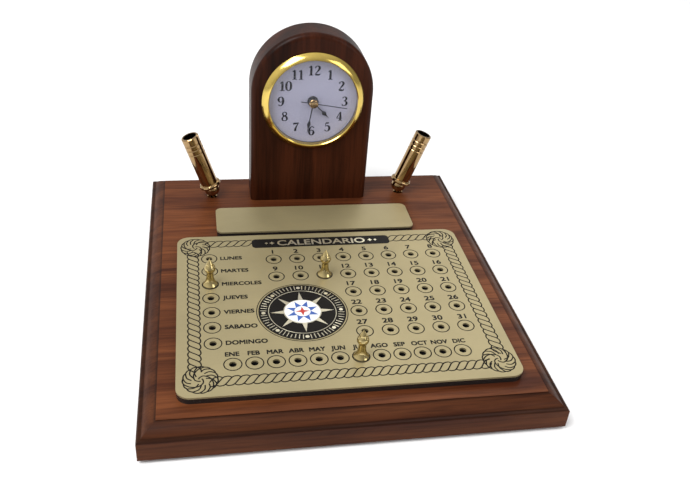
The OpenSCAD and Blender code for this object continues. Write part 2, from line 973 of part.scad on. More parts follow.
module setting_knob() {
    color([0.15, 0.15, 0.16])
        in_block()
            translate(concat(setting_at, 0)) {
                gear(motion_module, setting_teeth, pinion_tooth,
                    mesh_phase(setting_dir, mesh_phase(minute_dir, 0, cannon_teeth, minute_teeth),
                        minute_teeth, setting_teeth), cannon_level, wheel_t);
                arbor(setting_arbor_r, cover_back_z - 1, pivot_front);
                translate([0, 0, cover_back_z - joint_gap - 1.6])
                    difference() {
                        cylinder(d = knob_d, h = 1.6);
                        for (a = [0:30:330])
                            rotate(a)
                                translate([knob_d / 2 + 0.2, 0, -1])
                                    cylinder(r = 0.6, h = 4);
                    }
            }
}

// ---------- movement housing ----------

module at_movement_screws() {
    for (a = movement_screw_dirs)
        translate(concat(polar(movement_screw_r, a), 0))
            children();
}

module pivot_hole(place, r) {
    translate([place[0], place[1], 0])
        cylinder(r = r + run_clear, h = through_h, center = true);
}

module front_plate() {
    color([0.2, 0.2, 0.22])
        in_block() {
            difference() {
                union() {
                    arbor(dial_r, front_plate_z, dial_z);
                    arbor(boss_d / 2, front_plate_z, boss_top_z);
                }
                pivot_hole([0, 0], hour_tube_r);
                for (p = [third_at, drive_at, rotor_at])
                    pivot_hole(p, pivot_r);
                pivot_hole(setting_at, setting_arbor_r);
            }
            translate(concat(minute_at, 0))
                arbor(pivot_r, cannon_level, front_plate_z + weld);
            translate(concat(cell_at, 0))
                arbor(cell_d / 2 - 1.5, cell_z + cell_t + contact_t, front_plate_z + weld);
            at_movement_screws()
                ring(movement_screw_d + 0.4, movement_screw_d / 2, front_plate_z - 2, 2 + weld);
        }
}

module cap_lugs(extra) {
    for (a = [0, 180])
        rotate(a)
            translate([0, -lug_w / 2 - extra])
                square([cap_r + lug_reach + extra, lug_w + 2 * extra]);
}

module movement_cover() {
    color([0.2, 0.2, 0.22])
        in_block()
            difference() {
                union() {
                    ring(dial_r, dial_r - cover_wall, cover_back_z, front_plate_z - cover_back_z);
                    arbor(dial_r, cover_back_z, cover_inner_z);
                    at_movement_screws()
                        arbor(movement_screw_d + 0.4, cover_inner_z - weld, front_plate_z - 2);
                }
                for (p = [[0, 0], third_at, drive_at, rotor_at])
                    translate([p[0], p[1], pivot_back - 0.1])
                        cylinder(r = pivot_r + run_clear, h = 3);
                pivot_hole(setting_at, setting_arbor_r);
                translate([cell_at[0], cell_at[1], cover_back_z - 1])
                    cylinder(r = cap_r + run_clear, h = 4);
                translate([cell_at[0], cell_at[1], cover_back_z - 1])
                    rotate(45)
                        linear_extrude(4)
                            cap_lugs(joint_gap);
                at_movement_screws()
                    cylinder(d = movement_screw_d + 2 * glue_gap, h = through_h, center = true);
            }
}

module movement_screws() {
    head_h = 0.8;
    color([0.75, 0.75, 0.78])
        in_block()
            at_movement_screws()
                difference() {
                    union() {
                        arbor(movement_screw_d / 2, cover_back_z, front_plate_z - 0.5);
                        arbor(movement_screw_d, cover_back_z - head_h, cover_back_z);
                    }
                    translate([-movement_screw_d, -0.2, cover_back_z - head_h - 1])
                        cube([2 * movement_screw_d, 0.4, 1.4]);
                }
}

// ---------- stepping motor ----------

module stator() {
    color([0.7, 0.7, 0.72])
        in_block()
            translate([0, 0, second_level]) {
                linear_extrude(stator_t)
                    difference() {
                        union() {
                            translate(rotor_at)
                                circle(magnet_r + stator_gap + 1.6);
                            stator_arm([coil_from - arm_out, coil_y], rotor_at - [arm_in, 0]);
                            stator_arm([coil_to + arm_out, coil_y], rotor_at + [arm_in, 0]);
                        }
                        translate(rotor_at)
                            circle(magnet_r + stator_gap);
                    }
                translate([coil_from - 2, coil_y, wheel_t / 2])
                    rotate([0, 90, 0])
                        cylinder(r = core_r, h = coil_to - coil_from + 4);
            }
}

// An arm runs straight past the coil, then slopes to the ring round the rotor
module stator_arm(from, to) {
    half = arm_half;
    past = bobbin_flange_r + joint_gap;
    polygon([from + [-half, half], from + [-half, -past], to + [-half, -half / 2],
        to + [half, half / 2], from + [half, -past], from + [half, half]]);
}

module coil_bobbin() {
    color([0.2, 0.35, 0.3])
        in_block()
            translate([coil_from, coil_y, coil_z])
                rotate([0, 90, 0])
                    difference() {
                        union() {
                            cylinder(r = core_r + 0.5, h = coil_to - coil_from);
                            cylinder(r = bobbin_flange_r, h = bobbin_flange_t);
                            translate([0, 0, coil_to - coil_from - bobbin_flange_t])
                                cylinder(r = bobbin_flange_r, h = bobbin_flange_t);
                        }
                        translate([0, 0, -1])
                            cylinder(r = core_r + glue_gap, h = coil_to - coil_from + 2);
                    }
}

module coil_winding() {
    color([0.72, 0.4, 0.2])
        in_block()
            translate([coil_from + bobbin_flange_t, coil_y, coil_z])
                rotate([0, 90, 0])
                    ring(coil_r, core_r + 0.5 + glue_gap, glue_gap,
                        coil_to - coil_from - 2 * bobbin_flange_t - 2 * glue_gap);
}

// ---------- circuit and cell ----------

module circuit_board() {
    color([0.1, 0.3, 0.15])
        in_block()
            translate([circuit_at[0] - circuit_size[0] / 2, circuit_at[1] - circuit_size[1] / 2,
                circuit_z])
                cube([circuit_size[0], circuit_size[1], circuit_t]);
}

module circuit_chip() {
    chip_r = 1.8;
    color([0.05, 0.05, 0.05])
        in_block()
            translate([circuit_at[0] - 2, circuit_at[1], circuit_z + circuit_t])
                cylinder(r1 = chip_r, r2 = chip_r * 0.7, h = 0.8);
}

module quartz_can() {
    can_r = 0.9;
    can_len = 6;
    color([0.75, 0.75, 0.78])
        in_block()
            translate([circuit_at[0] + 2, circuit_at[1] - can_len / 2,
                circuit_z + circuit_t + can_r])
                rotate([-90, 0, 0])
                    cylinder(r = can_r, h = can_len);
}

module button_cell() {
    color([0.8, 0.8, 0.82])
        in_block()
            translate(concat(cell_at, 0)) {
                arbor(cell_d / 2, cell_z, cell_z + cell_t * 0.8);
                arbor(cell_d / 2 - 1, cell_z + cell_t * 0.8 - weld, cell_z + cell_t);
            }
}

// Strip that presses on the flat end of the cell
module leaf_contact() {
    foot_z = circuit_z + circuit_t;
    leaf_z = cell_z + cell_t;
    foot_x = circuit_at[0] + circuit_size[0] / 2 - 1.5;
    leaf_y = cell_at[1] - 3 * contact_w;
    color([0.85, 0.75, 0.5])
        in_block() {
            translate([foot_x, leaf_y, foot_z])
                cube([contact_t, contact_w, leaf_z + contact_t - foot_z]);
            translate([foot_x, leaf_y, leaf_z])
                cube([cell_at[0] - foot_x, contact_w, contact_t]);
            translate([cell_at[0] - 2 * contact_w, leaf_y, leaf_z])
                cube([2 * contact_w, 3 * contact_w, contact_t]);
        }
}

// Strip that presses on the rim of the cell
module rim_contact() {
    foot_z = circuit_z + circuit_t;
    color([0.85, 0.75, 0.5])
        in_block()
            translate([cell_at[0], cell_at[1], foot_z])
                rotate(rim_contact_dir)
                    translate([cell_d / 2 + glue_gap, -contact_w / 2, 0]) {
                        cube([contact_t, contact_w, cell_t * 0.7]);
                        cube([1.7 * contact_w, contact_w, contact_t]);
                    }
}

module battery_cap() {
    slot_w = 1.2;
    color([0.2, 0.2, 0.22])
        in_block()
            translate([cell_at[0], cell_at[1], 0])
                difference() {
                    union() {
                        arbor(cap_r, cover_back_z, cell_z - joint_gap);
                        translate([0, 0, cover_inner_z + seat_gap])
                            linear_extrude(lug_t)
                                cap_lugs(0);
                    }
                    translate([-cap_r * 0.8, -slot_w / 2, cover_back_z - 1])
                        cube([cap_r * 1.6, slot_w, 1.5]);
                }
}

base_board();
felt_feet();
calendar_backing();
calendar_plate();
dedication_backing();
dedication_plate();
clock_block();
block_screws();
left_ball_stud();
left_stud_nut();
left_pen_funnel();
right_ball_stud();
right_stud_nut();
right_pen_funnel();
day_peg();
date_peg();
month_peg();
insert_bezel();
crystal();
dial();
insert_case();
case_gasket();
front_plate();
movement_cover();
movement_screws();
hour_hand();
minute_hand();
second_hand();
hand_cap();
hour_wheel();
minute_wheel();
cannon_pinion();
centre_wheel();
third_wheel();
second_wheel();
drive_wheel();
rotor_pinion();
rotor_magnet();
stator();
coil_bobbin();
coil_winding();
circuit_board();
circuit_chip();
quartz_can();
button_cell();
leaf_contact();
rim_contact();
battery_cap();
setting_knob();
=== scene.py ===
"""Looks of a desk clock with a peg calendar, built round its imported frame."""

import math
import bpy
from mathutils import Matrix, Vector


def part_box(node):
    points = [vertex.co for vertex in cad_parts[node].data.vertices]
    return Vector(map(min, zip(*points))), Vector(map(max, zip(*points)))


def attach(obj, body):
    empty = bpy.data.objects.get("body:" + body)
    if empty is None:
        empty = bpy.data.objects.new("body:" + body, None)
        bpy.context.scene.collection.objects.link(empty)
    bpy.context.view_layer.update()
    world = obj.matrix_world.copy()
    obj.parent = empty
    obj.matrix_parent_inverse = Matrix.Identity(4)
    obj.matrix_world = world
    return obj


bl_info = {
    "name": "Desk Clock with Calendar",
    "version": (1, 0, 0),
    "blender": (4, 5, 0),
    "location": "View3D > Sidebar > Desk Clock",
    "description": "Finishes, engraving and stage of a desk clock with a peg calendar",
    "category": "Add Mesh",
}

import bpy
from bpy.props import FloatProperty, FloatVectorProperty, PointerProperty
from mathutils import Matrix, Vector

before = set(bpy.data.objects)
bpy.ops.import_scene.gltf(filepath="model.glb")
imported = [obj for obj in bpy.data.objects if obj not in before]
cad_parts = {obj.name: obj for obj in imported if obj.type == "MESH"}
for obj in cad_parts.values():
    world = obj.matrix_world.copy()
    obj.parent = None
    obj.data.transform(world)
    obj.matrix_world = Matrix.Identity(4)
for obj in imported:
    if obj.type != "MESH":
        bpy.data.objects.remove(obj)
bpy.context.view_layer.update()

MM = 0.001
INK_LIFT = 0.03 * MM  # height of one layer of ink, enamel or inlaid brass
DIAL_INK = 0.02 * MM  # height of the print on the dial
STAGGER = 0.001 * MM  # keeps the faces of a letter's copies out of one plane
CAPITAL = 0.69  # height of a capital, as a share of the size of the font

# The holes of the calendar plate, in millimetres from its edges, as they are drilled
DAY_LEFT, DAY_BACK, DAY_PITCH = 18.5, 23.9, 12.7
DATE_RIGHT, DATE_BACK, DATE_PITCH, DATE_ROW_PITCH = 19.8, 26.8, 14.0, 17.5
MONTH_LEFT, MONTH_FRONT, MONTH_PITCH = 27.7, 21.5, 10.8
# The middle of the rope along each edge of the plate, in millimetres from that edge
ROPE_LEFT, ROPE_RIGHT, ROPE_FRONT, ROPE_BACK = 9.1, 8.5, 10.0, 8.6
# The middle of the emblem, in millimetres from the middle of the board
EMBLEM_X, EMBLEM_Y = -19.8, -44.0

WEEKDAYS = ("LUNES", "MARTES", "MIERCOLES", "JUEVES", "VIERNES", "SABADO", "DOMINGO")
MONTHS = ("ENE", "FEB", "MAR", "ABR", "MAY", "JUN", "JUL", "AGO", "SEP", "OCT", "NOV", "DIC")


# ---------- settings ----------


def length(name, description, millimetres):
    """A setting with a default in millimetres."""
    return FloatProperty(
        name=name, description=description, default=millimetres * MM, unit="LENGTH", precision=4
    )


def colour(name, description, rgb):
    """A setting with a linear colour as its default."""
    return FloatVectorProperty(
        name=name, description=description, default=rgb, subtype="COLOR", min=0.0, max=1.0
    )


class EngravingSettings(bpy.types.PropertyGroup):
    """Sizes and colours of the marks on the calendar plate"""

    ink: colour("Ink", "Colour of the filled engraving", (0.006, 0.005, 0.004))
    line_w: length("Line width", "Width of a drawn line", 0.72)
    bold: length("Letter weight", "How far the edge of a letter is moved outwards", 0.15)
    ring_d: length("Ring diameter", "Ring round each peg hole", 8.9)
    date_h: length("Date height", "Height of the date numbers", 4.0)
    date_up: length("Date offset", "From a hole to the middle of its number", 7.9)
    month_h: length("Month height", "Height of the month names", 3.3)
    month_up: length("Month offset", "From a hole to the middle of its month name", 7.6)
    day_h: length("Weekday height", "Height of the weekday names", 3.4)
    day_right: length("Weekday offset", "From a hole to the start of its weekday name", 6.4)
    rope_w: length("Rope width", "Width of the drawn rope", 6.2)
    rope_pitch: length("Rope pitch", "Distance between two strands of the rope", 4.5)
    knot_w: length("Knot width", "Width of a corner knot", 17.0)
    knot_h: length("Knot height", "Height of a corner knot", 18.6)
    banner_w: length("Banner width", "Width of the dark banner", 85.6)
    word_h: length("Banner word height", "Height of the word on the banner", 5.6)
    banner_h: length("Banner height", "Height of the dark banner", 9.4)


class EmblemSettings(bpy.types.PropertyGroup):
    """Sizes and colours of the compass rose on the calendar plate"""

    radius: length("Radius", "Outer radius of the emblem", 25.0)
    white: colour("White", "White enamel", (0.78, 0.78, 0.76))
    blue: colour("Blue", "Blue enamel", (0.03, 0.09, 0.33))
    red: colour("Red", "Red enamel", (0.42, 0.03, 0.02))


class DialSettings(bpy.types.PropertyGroup):
    """Sizes of the print on the dial"""

    numeral_h: length("Numeral height", "Height of the hour numerals", 6.3)
    numeral_r: length("Numeral radius", "From the middle of the dial to the middle of a numeral", 20.4)
    dot_r: length("Dot radius", "From the middle of the dial to the hour dots", 24.9)


class FinishSettings(bpy.types.PropertyGroup):
    """Main colours of the finishes"""

    board_light: colour("Board, light", "Light grain of the base board", (0.165, 0.052, 0.017))
    board_dark: colour("Board, dark", "Dark grain of the base board", (0.042, 0.0095, 0.0035))
    block_light: colour("Block, light", "Light grain of the clock block", (0.054, 0.0130, 0.0045))
    block_dark: colour("Block, dark", "Dark grain of the clock block", (0.010, 0.0026, 0.0012))
    satin_brass: colour("Satin brass", "Brass faces", (0.335, 0.28, 0.15))
    pale_brass: colour("Pale brass", "Funnels, their studs and the cap over the hands", (0.38, 0.25, 0.12))
    golden_brass: colour("Golden brass", "Pegs", (0.52, 0.41, 0.185))
    yellow_brass: colour("Yellow brass", "Bezel", (0.70, 0.51, 0.13))


class StageSettings(bpy.types.PropertyGroup):
    """Camera, floor and light"""

    floor: colour("Floor", "Colour of the floor", (0.86, 0.86, 0.86))
    light: FloatProperty(name="Light", description="Strength of the lamps", default=1.0, min=0.0)


# ---------- helpers for modelling ----------


def nothing_selected():
    """Leaves edit mode and clears the selection."""
    if bpy.context.object and bpy.context.object.mode != "OBJECT":
        bpy.ops.object.mode_set(mode="OBJECT")
    bpy.ops.object.select_all(action="DESELECT")


def only(obj):
    """Selects one object and makes it the active one."""
    nothing_selected()
    obj.select_set(True)
    bpy.context.view_layer.objects.active = obj


def to_mesh(obj):
    """Turns a text or a curve into a mesh object."""
    only(obj)
    bpy.ops.object.convert(target="MESH")
    return bpy.context.object


def settle(obj):
    """Puts the place of a piece into its mesh, so that its object sits at the origin."""
    only(obj)
    bpy.ops.object.transform_apply(location=True, rotation=True, scale=True)


def joined(objs, name):
    """Joins objects into the first of them."""
    nothing_selected()
    for o in objs:
        o.select_set(True)
    bpy.context.view_layer.objects.active = objs[0]
    if len(objs) > 1:
        bpy.ops.object.join()
    obj = bpy.context.object
    obj.name = name
    obj.data.name = name
    return obj


def dressed(obj, name, body, material):
    """Names a finished piece and gives it its body and its material."""
    obj.name = name
    obj.data.name = name
    obj.data.materials.clear()
    obj.data.materials.append(material)
    settle(obj)
    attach(obj, body)


def on_dial(obj):
    """Stands a flat piece, drawn on the XY plane, on the face of the dial."""
    low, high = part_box("dial")
    middle = ((low[0] + high[0]) / 2, low[1], (low[2] + high[2]) / 2)
    upright = Matrix.Translation(middle) @ Matrix.Rotation(math.pi / 2, 4, "X")
    obj.matrix_world = upright @ obj.matrix_world


def drawn_lines(strokes, name, width, height):
    """Ink lines on the XY plane. A stroke is a list of (x, y) or (x, y, width factor)."""
    data = bpy.data.curves.new(name, "CURVE")
    data.dimensions = "3D"
    data.bevel_depth = width / 2
    data.bevel_resolution = 0
    data.use_fill_caps = True
    for stroke in strokes:
        closed = len(stroke) > 3 and stroke[0][:2] == stroke[-1][:2]
        points = stroke[:-1] if closed else stroke
        spline = data.splines.new("POLY")
        spline.points.add(len(points) - 1)
        spline.use_cyclic_u = closed
        for p, q in zip(spline.points, points):
            p.co = (q[0], q[1], 0.0, 1.0)
            p.radius = q[2] if len(q) > 2 else 1.0
    obj = bpy.data.objects.new(name, data)
    bpy.context.scene.collection.objects.link(obj)
    obj = to_mesh(obj)
    obj.scale = (1.0, 1.0, 2 * height / width)
    settle(obj)
    return obj


def smoothed(points, steps):
    """A Catmull-Rom line through points of any length."""
    closed = points[0][:2] == points[-1][:2]
    if closed:
        ring = [points[-2]] + list(points) + [points[1]]
    else:
        ring = [points[0]] + list(points) + [points[-1]]
    out = []
    for i in range(1, len(ring) - 2):
        a, b, c, d = ring[i - 1 : i + 3]
        for s in range(steps):
            t = s / steps
            out.append(
                tuple(
                    0.5
                    * (
                        2 * q
                        + (r - p) * t
                        + (2 * p - 5 * q + 4 * r - w) * t * t
                        + (3 * q - p - 3 * r + w) * t**3
                    )
                    for p, q, r, w in zip(a, b, c, d)
                )
            )
    out.append(tuple(points[-1]))
    if closed:
        out[-1] = out[0]
    return out


def on_circle(r, a, centre=(0.0, 0.0)):
    """The point of a circle at an angle in radians."""
    return (centre[0] + r * math.cos(a), centre[1] + r * math.sin(a))


def circle_points(r, n, centre=(0.0, 0.0)):
    """A closed circle of n points."""
    pts = [on_circle(r, 2 * math.pi * i / n, centre) for i in range(n)]
    return pts + [pts[0]]


def flat_shape(outline, name):
    """A layer of ink with the given outline, standing on the XY plane."""
    data = bpy.data.curves.new(name, "CURVE")
    data.dimensions = "2D"
    data.fill_mode = "BOTH"
    data.extrude = INK_LIFT / 2
    spline = data.splines.new("POLY")
    pts = outline[:-1] if outline[0] == outline[-1] else outline
    spline.points.add(len(pts) - 1)
    spline.use_cyclic_u = True
    for p, q in zip(spline.points, pts):
        p.co = (q[0], q[1], 0.0, 1.0)
    obj = bpy.data.objects.new(name, data)
    bpy.context.scene.collection.objects.link(obj)
    obj.location.z = INK_LIFT / 2
    obj = to_mesh(obj)
    settle(obj)
    return obj


def lettering(text, height, stretch, bold, apart=True):
    """Plain letters of a given height, stretched across, with their middle at the origin.

    Four copies a little apart give small letters their weight and keep their corners sharp.
    Returns the piece and its width.
    """
    copies = []
    for x, y in ((-1, -1), (1, -1), (1, 1), (-1, 1)) if apart else ((0, 0),):
        nothing_selected()
        bpy.ops.object.text_add(location=(0, 0, 0))
        obj = bpy.context.object
        obj.data.body = text
        obj.data.size = (height - 2 * bold) / CAPITAL
        obj.data.offset = 0.0 if apart else bold
        obj.data.resolution_u = 3
        obj.data.extrude = INK_LIFT
        obj = to_mesh(obj)
        obj.scale = (stretch, 1.0, 1.0)
        obj.location = (x * bold, (y + 1) * bold - height / 2, len(copies) * STAGGER)
        settle(obj)
        copies.append(obj)
    obj = joined(copies, text)
    xs = [v.co.x for v in obj.data.vertices]
    obj.location.x = -(max(xs) + min(xs)) / 2
    settle(obj)
    return obj, max(xs) - min(xs)


# ---------- helpers for materials ----------


def new_material(name):
    """A material with its nodes, its links and its shader."""
    m = bpy.data.materials.new(name)
    m.use_nodes = True
    nodes = m.node_tree.nodes
    return m, nodes, m.node_tree.links, nodes["Principled BSDF"]


def coords(nodes, links, scale):
    """Object coordinates, scaled along each axis."""
    place = nodes.new("ShaderNodeTexCoord")
    mapping = nodes.new("ShaderNodeMapping")
    mapping.inputs["Scale"].default_value = scale
    links.new(place.outputs["Object"], mapping.inputs["Vector"])
    return mapping.outputs["Vector"]


def noise(nodes, links, vector, scale, detail=4.0, rough=0.5, distortion=0.0):
    """Cloudy noise from 0 to 1."""
    n = nodes.new("ShaderNodeTexNoise")
    n.inputs["Scale"].default_value = scale
    n.inputs["Detail"].default_value = detail
    n.inputs["Roughness"].default_value = rough
    n.inputs["Distortion"].default_value = distortion
    links.new(vector, n.inputs["Vector"])
    return n.outputs["Fac"]


def ramp(nodes, links, fac, stops):
    """A colour ramp. Stops is a list of (position, colour)."""
    r = nodes.new("ShaderNodeValToRGB")
    r.color_ramp.elements[0].position = stops[0][0]
    r.color_ramp.elements[0].color = (*stops[0][1], 1.0)
    r.color_ramp.elements[1].position = stops[-1][0]
    r.color_ramp.elements[1].color = (*stops[-1][1], 1.0)
    for at, rgb in stops[1:-1]:
        e = r.color_ramp.elements.new(at)
        e.color = (*rgb, 1.0)
    links.new(fac, r.inputs["Fac"])
    return r.outputs["Color"]


def multiplied(nodes, links, fac, a, b):
    """Colour a times colour b, by the share fac."""
    m = nodes.new("ShaderNodeMix")
    m.data_type = "RGBA"
    m.blend_type = "MULTIPLY"
    # In colour mode the factor is input 0, A and B are inputs 6 and 7, and the result is output 2
    m.inputs[0].default_value = fac
    links.new(a, m.inputs[6])
    links.new(b, m.inputs[7])
    return m.outputs[2]


def scaled(nodes, links, fac, low, high):
    """A share from 0 to 1 brought to the range from low to high."""
    r = nodes.new("ShaderNodeMapRange")
    r.inputs["To Min"].default_value = low
    r.inputs["To Max"].default_value = high
    links.new(fac, r.inputs["Value"])
    return r.outputs["Result"]


def bump(nodes, links, shader, fac, strength, distance):
    """Fine relief, its depth in metres."""
    b = nodes.new("ShaderNodeBump")
    b.inputs["Strength"].default_value = strength
    b.inputs["Distance"].default_value = distance
    links.new(fac, b.inputs["Height"])
    links.new(b.outputs["Normal"], shader.inputs["Normal"])


def times(rgb, by):
    """A colour made darker or lighter."""
    return tuple(c * by for c in rgb)


def wood(name, light, dark, along, shine, bands, shade):
    """Varnished hardwood with its grain along one axis (0 for X, 2 for Z).

    Shine is the roughness of the varnish and bands the scale of the figure. Shade is a list of
    (height in millimetres, share of the colour), for painted shade in the hollows and slopes of a
    moulding.
    """
    m, nodes, links, shader = new_material(name)
    stretch = [1.0, 1.0, 1.0]
    stretch[along] = 0.045
    fibres = noise(nodes, links, coords(nodes, links, stretch), 900.0, 5.0, 0.6, 0.2)
    stretch[along] = 0.08
    figure = noise(nodes, links, coords(nodes, links, stretch), bands, 3.0, 0.55, 0.9)
    broad = noise(nodes, links, coords(nodes, links, (1, 1, 1)), 9.0, 2.0)
    mid = tuple((a + b) / 2 for a, b in zip(light, dark))
    base = ramp(nodes, links, figure, [(0.28, dark), (0.5, mid), (0.72, light)])
    pores = [(0.30, (0.35, 0.32, 0.30)), (0.55, (1, 1, 1)), (0.8, (1.15, 1.1, 1.05))]
    streaks = ramp(nodes, links, fibres, pores)
    grained = multiplied(nodes, links, 0.6, base, streaks)
    tone = ramp(nodes, links, broad, [(0.3, (0.70, 0.66, 0.64)), (0.7, (1.2, 1.2, 1.2))])
    toned = multiplied(nodes, links, 0.7, grained, tone)
    # Painted shade: the colour is darkened band by band with height, for the hollows and slopes of a
    # moulding
    if shade:
        split = nodes.new("ShaderNodeSeparateXYZ")
        top = shade[-1][0]
        links.new(coords(nodes, links, (1 / (top * MM),) * 3), split.inputs["Vector"])
        painted_shade = ramp(nodes, links, split.outputs["Z"], [(z / top, (k, k, k)) for z, k in shade])
        toned = multiplied(nodes, links, 1.0, toned, painted_shade)
    links.new(toned, shader.inputs["Base Color"])
    links.new(scaled(nodes, links, fibres, shine + 0.1, shine - 0.05), shader.inputs["Roughness"])
    shader.inputs["Specular IOR Level"].default_value = 0.07
    shader.inputs["Coat Weight"].default_value = 0.04
    shader.inputs["Coat Roughness"].default_value = 0.2
    bump(nodes, links, shader, fibres, 0.14, 0.0001)
    return m


def brushed_brass(name, rgb, rough):
    """Satin brass, rubbed along X, with faint clouding."""
    m, nodes, links, shader = new_material(name)
    rub = noise(nodes, links, coords(nodes, links, (0.03, 1.0, 1.0)), 2600.0, 3.0, 0.6)
    cloud = noise(nodes, links, coords(nodes, links, (1, 1, 1)), 35.0, 3.0)
    tone = ramp(nodes, links, cloud, [(0.3, times(rgb, 0.92)), (0.7, times(rgb, 1.05))])
    fine = ramp(nodes, links, rub, [(0.3, (0.93, 0.93, 0.93)), (0.7, (1.0, 1.0, 1.0))])
    links.new(multiplied(nodes, links, 0.8, tone, fine), shader.inputs["Base Color"])
    shader.inputs["Metallic"].default_value = 0.55
    links.new(scaled(nodes, links, rub, rough - 0.05, rough + 0.08), shader.inputs["Roughness"])
    bump(nodes, links, shader, rub, 0.08, 0.00003)
    return m


def bright_brass(name, rgb, rough):
    """Polished brass with faint handling marks."""
    m, nodes, links, shader = new_material(name)
    smear = noise(nodes, links, coords(nodes, links, (1, 1, 1)), 160.0, 4.0, 0.6, 0.6)
    speck = noise(nodes, links, coords(nodes, links, (1, 1, 1)), 1400.0, 2.0)
    tone = ramp(nodes, links, smear, [(0.3, times(rgb, 0.86)), (0.7, rgb)])
    links.new(tone, shader.inputs["Base Color"])
    shader.inputs["Metallic"].default_value = 1.0
    links.new(scaled(nodes, links, smear, rough - 0.02, rough + 0.07), shader.inputs["Roughness"])
    bump(nodes, links, shader, speck, 0.03, 0.00002)
    return m


def plain_metal(name, rgb, rough, scale=900.0):
    """Machined or plated metal with a fine grain."""
    m, nodes, links, shader = new_material(name)
    grain = noise(nodes, links, coords(nodes, links, (1, 1, 1)), scale, 3.0)
    tone = ramp(nodes, links, grain, [(0.3, times(rgb, 0.85)), (0.7, rgb)])
    links.new(tone, shader.inputs["Base Color"])
    shader.inputs["Metallic"].default_value = 1.0
    links.new(scaled(nodes, links, grain, rough - 0.06, rough + 0.06), shader.inputs["Roughness"])
    return m


def coated(name, rgb, rough, grain_scale, depth, coat=0.0, gloss=0.5):
    """Paint, enamel or moulded plastic with a fine surface."""
    m, nodes, links, shader = new_material(name)
    grain = noise(nodes, links, coords(nodes, links, (1, 1, 1)), grain_scale, 4.0)
    tone = ramp(nodes, links, grain, [(0.3, times(rgb, 0.9)), (0.7, times(rgb, 1.06))])
    links.new(tone, shader.inputs["Base Color"])
    links.new(scaled(nodes, links, grain, rough - 0.05, rough + 0.06), shader.inputs["Roughness"])
    shader.inputs["Specular IOR Level"].default_value = gloss
    shader.inputs["Coat Weight"].default_value = coat
    bump(nodes, links, shader, grain, 0.2, depth)
    return m


def felt_finish(name, rgb):
    """Pressed felt with a soft sheen."""
    m, nodes, links, shader = new_material(name)
    hair = noise(nodes, links, coords(nodes, links, (1, 1, 1)), 1800.0, 6.0, 0.7, 1.5)
    tone = ramp(nodes, links, hair, [(0.3, times(rgb, 0.5)), (0.7, times(rgb, 1.3))])
    links.new(tone, shader.inputs["Base Color"])
    shader.inputs["Roughness"].default_value = 1.0
    shader.inputs["Sheen Weight"].default_value = 0.5
    bump(nodes, links, shader, hair, 0.8, 0.0004)
    return m


def clear_crystal(name):
    """Clear cover: a faint gloss over the dial."""
    m, nodes, links, shader = new_material(name)
    smear = noise(nodes, links, coords(nodes, links, (1, 1, 1)), 60.0, 3.0)
    links.new(scaled(nodes, links, smear, 0.01, 0.05), shader.inputs["Roughness"])
    shader.inputs["Base Color"].default_value = (0.10, 0.11, 0.14, 1.0)
    shader.inputs["Specular IOR Level"].default_value = 1.0
    shader.inputs["Alpha"].default_value = 0.08
    return m


def on_nodes(material, *names):
    """Gives CAD nodes their material."""
    for n in names:
        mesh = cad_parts[n].data
        mesh.materials.clear()
        mesh.materials.append(material)


# ---------- operators ----------


class DESKCLOCK_OT_stage(bpy.types.Operator):
    """Set up the camera, the floor, the backdrop and the lights"""

    bl_idname = "deskclock.stage"
    bl_label = "Stage"

    def execute(self, context):
        s = context.scene.deskclock_stage
        nothing_selected()
        # Camera solved from the peg holes, the emblem and the edges of the board in the photograph
        bpy.ops.object.camera_add(location=(-0.07106, -0.37569, 0.28777))
        cam = context.object
        cam.name = "photo_camera"
        right = Vector((0.983606, -0.166784, 0.068576))
        up = Vector((0.036661, 0.557275, 0.829518))
        back = Vector((-0.176567, -0.813405, 0.554253))
        cam.rotation_euler = Matrix((right, up, back)).transposed().to_euler()
        cam.data.sensor_width = 36.0
        cam.data.lens = 40.86
        cam.data.clip_start = 0.01
        context.scene.camera = cam

        nothing_selected()
        bpy.ops.mesh.primitive_plane_add(size=24.0, location=(0, 0, -0.05 * MM))
        floor = context.object
        floor.name = "floor"
        bpy.ops.object.mode_set(mode="EDIT")
        bpy.ops.mesh.subdivide(number_cuts=1)
        bpy.ops.object.mode_set(mode="OBJECT")
        m, nodes, links, shader = new_material("pale_floor")
        shader.inputs["Base Color"].default_value = (*s.floor, 1.0)
        shader.inputs["Roughness"].default_value = 0.9
        floor.data.materials.append(m)
        settle(floor)

        # A pale room, brighter above and to the left
        world = bpy.data.worlds.new("pale_room")
        context.scene.world = world
        world.use_nodes = True
        nodes, links = world.node_tree.nodes, world.node_tree.links
        background = nodes["Background"]
        background.inputs["Color"].default_value = (1, 1, 1, 1)
        place = nodes.new("ShaderNodeTexCoord")
        towards = nodes.new("ShaderNodeVectorMath")
        towards.operation = "DOT_PRODUCT"
        towards.inputs[1].default_value = (-0.55, 0.20, 0.81)
        links.new(place.outputs["Generated"], towards.inputs[0])
        room = nodes.new("ShaderNodeMapRange")
        room.interpolation_type = "SMOOTHSTEP"
        room.inputs["From Min"].default_value = -0.2
        room.inputs["From Max"].default_value = 1.0
        room.inputs["To Min"].default_value = 0.40
        room.inputs["To Max"].default_value = 1.0
        links.new(towards.outputs["Value"], room.inputs["Value"])
        links.new(room.outputs["Result"], background.inputs["Strength"])

        # Name, place, target, size in metres, power in watts
        lamps = (
            ("key_light", (-0.55, -0.35, 1.0), (0.0, 0.0, 0.03), 0.6, 12.0),
            ("fill_light", (0.9, -0.7, 0.7), (0.0, 0.0, 0.03), 0.7, 4.0),
            ("back_light", (0.5, 0.9, 0.9), (0.0, 0.05, 0.06), 0.5, 2.0),
        )
        for name, at, target, size, watts in lamps:
            nothing_selected()
            bpy.ops.object.light_add(type="AREA", location=at)
            lamp = context.object
            lamp.name = name
            lamp.data.size = size
            lamp.data.energy = watts * s.light
            lamp.rotation_euler = (Vector(target) - Vector(at)).to_track_quat("-Z", "Y").to_euler()
        context.scene.view_settings.view_transform = "Standard"
        return {"FINISHED"}


